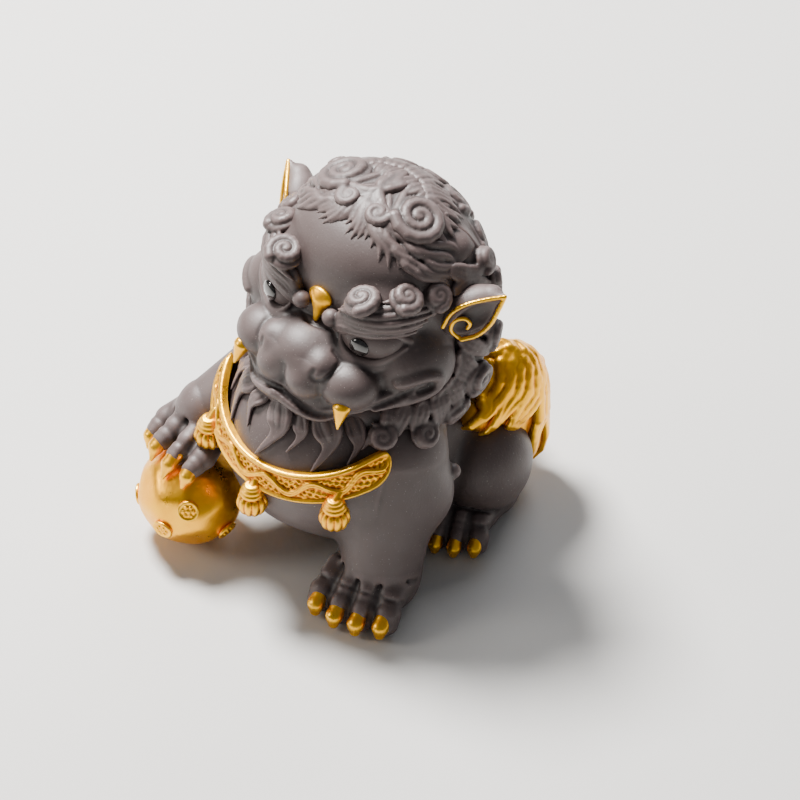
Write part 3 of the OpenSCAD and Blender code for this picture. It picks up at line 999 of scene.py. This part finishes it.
def make_fringe(base):
    """Separate tapering strands combed forward from the crown, swaying to points on the forehead."""
    zone = base.blank()
    zone.put(ellipsoid((0, -2, 92), (24, 17, 16)))
    zone.cut(ellipsoid((0, -29, 75), (34, 31, 27)))
    clay = base.within(zone, 0.2)
    for layer, (count, short, thick, lift) in enumerate(FRINGE_LAYERS):
        for i in range(count):
            turn = -106 + 212 * (i + 0.5 * layer) / (count - 0.5)
            up = hairline(turn) + short - 1.0 - 3.0 * math.sin(1.3 * i + layer)
            path = curve([hair_point(turn * 0.74, up + 24), hair_point(turn * 0.84 - FRINGE_SWAY, up + 16),
                          hair_point(turn * 0.94 + FRINGE_SWAY, up + 8),
                          hair_point(turn - 0.5 * FRINGE_SWAY, up - 2)], 14)
            t = np.linspace(0, 1, len(path))
            width = thick * np.minimum(0.4 + 3 * t, 1) * (1 - t ** 4) + 0.16
            clay.put(*tube(base.trace(path, lift * (1 - t) - 0.25 * t), width), k=0.08)
    sculpt("fringe", clay)


def make_crown(base):
    """Two great whorls on the crown, with smaller curls before them and combed locks behind."""
    zone = base.blank()
    zone.put(ellipsoid((0, -3, 96), (20, 11, 5)))
    clay = base.within(zone, 0.5)
    for s in BOTH:
        for i in range(5):
            x = 1.5 + 3.4 * i
            spine = sided([(x, -3 + i, 97), (0.9 * x + 1, 3, 96), (1.15 * x, 10, 91)], s)
            clay.put(*lock(base, spine, 3.8, 2, 1.3, 0.4), k=0.15, inner=0.08)
        great = swirl(base, side(WHORL, s), 7.4, side((2, 3, 98), s), s, 2.3, 1.6, 0.2, 0.14)
        clay.put(*great, k=0.1, inner=0.08)
        small = swirl(base, side((4.4, -12.4, 96), s), 3.8, side((1.5, -5, 98), s), -s, 1.7, 1.2, 0.4, 0.2)
        clay.put(*small, k=0.15, inner=0.1)
    sculpt("crown_curl", clay)


SIDE_CURLS = [((21.2, 3, 81), 3.0, (19, -6, 85)), ((23, 5.5, 74.5), 3.0, (24, -3, 79)),
              ((25.6, 1.0, 62.5), 3.6, (26, -7.5, 67.5)), ((27, -5, 54.0), 4.3, (27, -13, 60)),
              ((27.4, -11.5, 47.2), 3.6, (26, -17.5, 54.5)), ((25.6, -21.3, 45.8), 3.3, (24, -24, 52.5)),
              ((19.8, -28.6, 46.8), 3.1, (19, -31, 52.0))]
RUFF = [(21.5, -1, 86), (25, -2, 78), (26.2, -1, 69), (26.4, -3.5, 61), (26.2, -8, 54), (25.2, -14.5, 49.5),
        (22.6, -21.5, 48.5), (18.0, -28.0, 49), (12.5, -33, 50)]


def make_side_manes(base):
    """A ruff of locks from behind the ear to under the jaw, with snail curls along its outer edge."""
    for s, name in NAMED:
        clay = base.blank()
        clay.put(*mane_forms(s), inner=0.5)
        forms = []
        line = curve(RUFF, 19)
        for i in range(1, len(line) - 1):
            p = line[i]
            down = unit(line[i + 1] - line[i - 1])
            out = unit(np.cross(down, base.normal(p)[0])) * -1
            sway = 1.4 * math.sin(2.1 * i)
            root = p - 5.5 * out - 3.0 * down
            middle = p + (sway - 0.6) * down
            tip = p + 6.5 * out + (2.0 - sway) * down
            forms += lock(base, sided((root, middle, tip), s), 4.8, 3, 1.25, 0.5, 10, root=0.1)
        clay.put(*forms, k=0.15, inner=0.08)
        for i, (centre, r, entry) in enumerate(SIDE_CURLS):
            hand = s if i < 4 else -s
            curl = swirl(base, side(centre, s), r + 0.8, side(entry, s), hand, thick=1.3, lift=0.5)
            clay.put(*curl, k=0.12, inner=0.08)
        sculpt("side_mane_" + name, clay)


# The rows of curls behind: height, and places across.
BACK_ROWS = [(88, (-8.5, 0, 8.5)), (79.5, (-14, -4.8, 4.8, 14)), (71, (-18.5, -9.6, 0, 9.6, 18.5)),
             (62.5, (-14.5, -4.9, 4.9, 14.5)), (54.5, (-18, -9, 0, 9, 18))]


def make_back_mane(base):
    """Rows of snail curls down the back of the head, over pointed locks on the nape."""
    zone = base.blank()
    zone.put(ellipsoid((0, 8, 70), (25, 18, 27)), ellipsoid((0, 6, 58), (24, 16, 18)))
    zone.cut(ellipsoid((0, -24, 60), (60, 22, 60)))
    clay = base.within(zone, 0.5)
    forms = []
    for row, (z, places) in enumerate(BACK_ROWS):
        for x in places:
            centre = at(x, 13 - 0.028 * x * x, z)
            entry = centre + at(-0.16 * x, -1, 7.5)
            hand = 1 if x > 0 or (x == 0 and row % 2) else -1
            forms += swirl(base, centre, 5.3, entry, hand, 1.9, 1.3, -0.1, 0.16)
    for i in range(19):
        x = -17 + 17 * i / 9
        sway = 1.4 * math.sin(1.9 * i)
        turn = 98 + 164 * i / 18
        for spine in ([(0.95 * x, 12, 55), (0.9 * x + sway, 11, 50), (1.02 * x, 10, 41)],
                      [hair_point(turn, 64), hair_point(turn + 3 * sway, 54), hair_point(turn, 42)]):
            forms += lock(base, spine, 4.0, 2, 1.3, 0.6, root=0.3)
    clay.put(*forms, k=0.25, inner=0.1)
    sculpt("back_mane", clay)


# Each wisp on the left, and the one in the middle: root, bend, tip, width and strands.
BEARD = [((0, -41.0, 53.6), (2.2, -43.6, 48.0), (-1.2, -48.0, 41.6), 7.6, 6),
         ((10.4, -37.6, 53.2), (14.0, -39.4, 48.0), (12.0, -43.4, 41.8), 7.6, 6),
         ((5.2, -39.9, 52.6), (7.4, -41.6, 48.6), (5.8, -44.9, 44.8), 4.8, 4),
         ((15.8, -33.4, 52.4), (18.8, -34.8, 48.0), (18.0, -38.0, 43.4), 5.4, 4)]


def make_beard(base):
    """Broad pointed wisps that grow out of the chin and lie on the chest."""
    clay = Clay((-24, -53, 38), (24, -27, 56), 0.28)
    for root, bend, tip, width, count in BEARD:
        for s in (LEFT, RIGHT) if root[0] else (LEFT,):
            path = base.trace(curve(sided((root, bend, tip), s), 15), 0.3)
            normals, across = frame_along(base, path)
            t = np.linspace(0, 1, len(path))
            rise = np.minimum(3.2 * t, 1) * 1.7 - 1.5
            spread = (0.5 + 0.5 * np.sin(np.pi * np.minimum(1.4 * t + 0.1, 1))) * (1 - t) ** 0.75
            clay.put(*tube(path + normals * (rise - 0.5)[:, None], 0.26 * width * spread + 0.1), k=0.2)
            for i in range(count):
                shift = (i - (count - 1) / 2) * width / count
                strand = path + across * (shift * spread)[:, None] + normals * rise[:, None]
                clay.put(*tube(strand, 0.145 * width * (0.25 + 0.75 * spread)), k=0.08)
    sculpt("beard", clay)


# ---------------------------------------------------------------- collar, bells and tail

COLLAR = at(0, -25, 46.6)
COLLAR_R = 25.5
COLLAR_TILT = math.radians(22.8)
COLLAR_SPAN = 77                  # half the arc it covers, in degrees
COLLAR_LEAN = math.radians(32)    # the band's upper edge leans in against the chest
COLLAR_HALF = 3.8                 # half the band's height
VINE_WAVE = 11.8                  # length of one wave of the vine


def collar_band():
    """The band in one form: raised rims, a waving vine between them and stippled panels."""
    tilt_c, tilt_s = math.cos(COLLAR_TILT), math.sin(COLLAR_TILT)
    lean_c, lean_s = math.cos(COLLAR_LEAN), math.sin(COLLAR_LEAN)

    def distance(x, y, z):
        px, py, pz = x - COLLAR[0], y - COLLAR[1], z - COLLAR[2]
        ry = py * tilt_c + pz * tilt_s
        rz = -py * tilt_s + pz * tilt_c
        ring = np.sqrt(px * px + ry * ry)
        bearing = np.degrees(np.arctan2(px, -ry))
        along = np.radians(bearing) * COLLAR_R
        q = ring - COLLAR_R
        out = q * lean_c + rz * lean_s
        up = -q * lean_s + rz * lean_c
        fade = np.clip((COLLAR_SPAN - np.abs(bearing)) / 16, 0, 1)
        half = COLLAR_HALF * np.sqrt(np.clip(1 - (1 - fade) ** 2, 0, 1)) + 0.05
        up = up - 1.6 * (1 - fade) ** 2
        edge = np.abs(up) - half
        beyond = (np.abs(bearing) - COLLAR_SPAN) * math.radians(1) * COLLAR_R
        rim = 0.75 * np.exp(-((np.abs(up) - (half - 0.65)) / 0.52) ** 2)
        vine_at = 1.45 * np.sin(2 * math.pi * along / VINE_WAVE)
        vine_gap = (up - vine_at) / 0.9
        vine = 0.95 * np.exp(-vine_gap ** 4) - 0.3 * np.exp(-(vine_gap / 0.25) ** 2)
        inside = np.clip((half - 1.2 - np.abs(up)) / 0.5, 0, 1)
        bend = along + 0.5 * np.sin(2.1 * up + 0.7 * along)
        leaf = (0.34 * np.cos(2 * math.pi * bend / 1.9 + 2.4 * up)
                * np.cos(2 * math.pi * up / 2.3 - 1.3 * bend))
        face = np.maximum(rim, np.maximum(vine * inside, (0.2 + leaf) * inside))
        flat = np.abs(out) - 0.75
        flat = np.where(out > 0, flat - face * np.clip(fade * 3, 0, 1), flat)
        return np.maximum(np.maximum(flat, edge), beyond) * 0.8

    reach = COLLAR_R + 6
    return Form(COLLAR + at(-reach, -reach, -18), COLLAR + at(reach, 2, 12), distance)


def make_collar():
    clay = Clay((-31, -55, 30), (31, -14, 56), 0.26)
    clay.put(collar_band())
    sculpt("collar", clay, "gilding")


FLUTES = 11


def bell_form(c, r):
    """The fluted body of a bell."""
    def distance(x, y, z):
        px, py, pz = x - c[0], y - c[1], z - c[2]
        reach = np.sqrt(px * px + py * py + pz * pz * 1.08)
        shallow = np.clip(np.sqrt(px * px + py * py) / r, 0, 1)
        groove = 0.62 * (1 - np.abs(np.cos(FLUTES * np.arctan2(py, px) / 2)) ** 0.6) * shallow
        return reach - r + groove * 0.9

    return Form(c - r, c + r, distance)


def make_bells():
    """Fluted bells with a slit below, under three rings and a loop."""
    for name in ("bell_left", "bell_centre", "bell_right"):
        lo, hi = low(name), high(name)
        r = (hi[0] - lo[0]) / 2 + 0.1
        c = at((lo[0] + hi[0]) / 2, (lo[1] + hi[1]) / 2, lo[2] + r + 0.6)
        clay = Clay(c - r - 1.5, c + at(r + 1.5, r + 1.5, r + 5), 0.19)
        clay.put(bell_form(c, r))
        clay.cut(limb(c + at(-1.6, 0, -r), c + at(1.6, 0, -r), 0.4, 0.4), k=0.4)
        for height, wide, thick in ((0.86 * r, 2.1, 0.8), (1.12 * r, 1.75, 0.75), (1.36 * r, 1.3, 0.7)):
            ring = [c + at(wide * math.cos(a), wide * math.sin(a), height)
                    for a in np.linspace(0, 2 * math.pi, 19)]
            clay.put(*tube(ring, thick), k=0.15)
            clay.put(ellipsoid(c + at(0, 0, height), (wide, wide, thick)))
        clay.put(limb(c + at(0, 0, 1.3 * r), c + at(0, 2.2, 1.75 * r), 1.2, 0.9), k=0.4)
        sculpt(name, clay, "gilding")


TAIL_LOCKS = [
    [(17, 16, 40), (23.0, 9, 38.5), (24.2, 3, 34), (21.6, -2.6, 30.6)],
    [(18, 17, 40), (26.0, 12, 36), (27.6, 5, 31.5), (26.0, -0.5, 26.5)],
    [(19, 18, 39), (27.8, 16, 32), (29.6, 10, 27), (28.6, 6.5, 20.5)],
    [(19, 19, 38), (27.8, 20, 29), (29.6, 16.5, 20), (27.2, 15.5, 10.5)],
    [(18, 20, 38), (25.4, 24, 28), (27.2, 22.5, 17), (24.6, 20.5, 4.6)],
    [(16, 21, 38), (20.5, 27, 28), (22.4, 27, 17), (20.0, 24.5, 7.5)],
    [(14, 21, 36), (14.8, 27.5, 27), (16.4, 28, 18), (14.6, 26.0, 9.5)],
]


def make_tail():
    """A plume that stands against the left of the rump: thick wavy locks that fan from a knob at its top."""
    base = Clay((6, -8, 0), (36, 36, 48), 0.34)
    base.put(ellipsoid((19.5, 14.5, 25), (7.4, 9.6, 15.5)))
    base.put(ellipsoid((20.5, 17.5, 14), (6.2, 7.0, 10)), k=3)
    base.put(ellipsoid((21.5, 5.5, 30), (3.8, 7.5, 4.4), (-20, 0, 0)), k=3)
    clay = base.copy()
    for i, spine in enumerate(TAIL_LOCKS):
        spine = [np.array(p, float) for p in spine]
        middle = (spine[1] + spine[2]) / 2 + at(0.3, 1.3, 0.8) * (1 if i % 2 else -1)
        path = [spine[0], spine[1], middle, spine[2], spine[3]]
        clay.put(*lock(base, path, 7.4, 3, 2.0, 0.7, 15, root=0.3), k=0.3, inner=0.15)
    clay.put(*swirl(base, (18.5, 14.0, 39.5), 4.2, (24, 10, 35), hand=1, thick=1.5, lift=0.6), k=0.3)
    clay.keep_above(0.0)
    sculpt("tail", clay, "gilding")


# ---------------------------------------------------------------- camera, light and floor

AZIMUTH, ELEVATION = math.radians(42), math.radians(45.5)
RIGHTWARD = Vector((math.cos(AZIMUTH), math.sin(AZIMUTH), 0))
BACKWARD = Vector((math.sin(AZIMUTH) * math.cos(ELEVATION), -math.cos(AZIMUTH) * math.cos(ELEVATION),
                   math.sin(ELEVATION)))
UPWARD = BACKWARD.cross(RIGHTWARD)
VIEW_SCALE = 4.25           # picture points for each millimetre at the lion
PICTURE = 800
LENS_LENGTH = 360.0         # a long lens: the photograph has next to no perspective
SENSOR = 36.0
FEET_BELOW_CENTRE = 16.5    # how far under the picture's centre the origin lies, in millimetres


def make_camera():
    cam = bpy.data.cameras.new("camera")
    cam.lens = LENS_LENGTH
    cam.sensor_width = SENSOR
    cam.clip_end = 20
    obj = add_object("camera", cam)
    target = UPWARD * FEET_BELOW_CENTRE * MM
    distance = LENS_LENGTH / SENSOR * PICTURE / VIEW_SCALE * MM
    obj.location = target + BACKWARD * distance
    obj.rotation_euler = Matrix((RIGHTWARD, UPWARD, BACKWARD)).transposed().to_euler()
    bpy.context.scene.camera = obj


def make_light(name, toward, distance, size, power, colour):
    light = bpy.data.lights.new(name, "AREA")
    light.shape = "DISK"
    light.size = size
    light.energy = power
    light.color = colour
    obj = add_object(name, light)
    obj.location = Vector(toward).normalized() * distance + Vector((0, 0, 0.05))
    obj.rotation_euler = (obj.location - Vector((0, -0.01, 0.05))).to_track_quat("Z", "Y").to_euler()


def make_studio():
    world = bpy.data.worlds.new("studio")
    bpy.context.scene.world = world
    world.use_nodes = True
    background = world.node_tree.nodes["Background"].inputs
    background["Color"].default_value = (0.93, 0.95, 1.0, 1)
    background["Strength"].default_value = 0.2
    key = UPWARD * 0.80 - RIGHTWARD * 0.42 + BACKWARD * 0.08 + Vector((0, 0, 0.45))
    fill = UPWARD * 0.25 - RIGHTWARD * 0.9 + BACKWARD * 0.35
    rim = UPWARD * 0.7 + RIGHTWARD * 0.35 - BACKWARD * 0.35 + Vector((0, 0, 0.4))
    make_light("key", key, 0.75, 0.24, 27.0, (1.0, 0.98, 0.96))
    make_light("fill", fill, 0.9, 0.3, 2.6, (1.0, 0.96, 0.9))
    make_light("rim", rim, 0.8, 0.4, 3.0, (0.95, 0.97, 1.0))
    p = Paint("floor")
    p.set(Base_Color=p.ramp(p.noise(3, 2), (0.3, (0.60, 0.59, 0.57)), (0.7, (0.64, 0.63, 0.61))))
    p.set(Roughness=0.75)
    verts = np.array([(-1500, -1500, 0), (1500, -1500, 0), (1500, 1500, 0), (-1500, 1500, 0)], float)
    mesh = new_mesh("floor", verts, np.array([[0, 1, 2, 3]]))
    mesh.materials.append(p.material)
    floor = add_object("floor", mesh)


make_camera()
make_studio()
make_body()
make_claws()
make_ball()
HEAD = make_head()
make_eyes()
make_brows(HEAD)
make_jewel(HEAD)
make_ears()
make_fangs()
HAIR = hair_base()
make_fringe(HAIR)
make_crown(HAIR)
make_side_manes(HAIR)
make_back_mane(HAIR)
make_beard(HAIR)
make_collar()
make_bells()
make_tail()
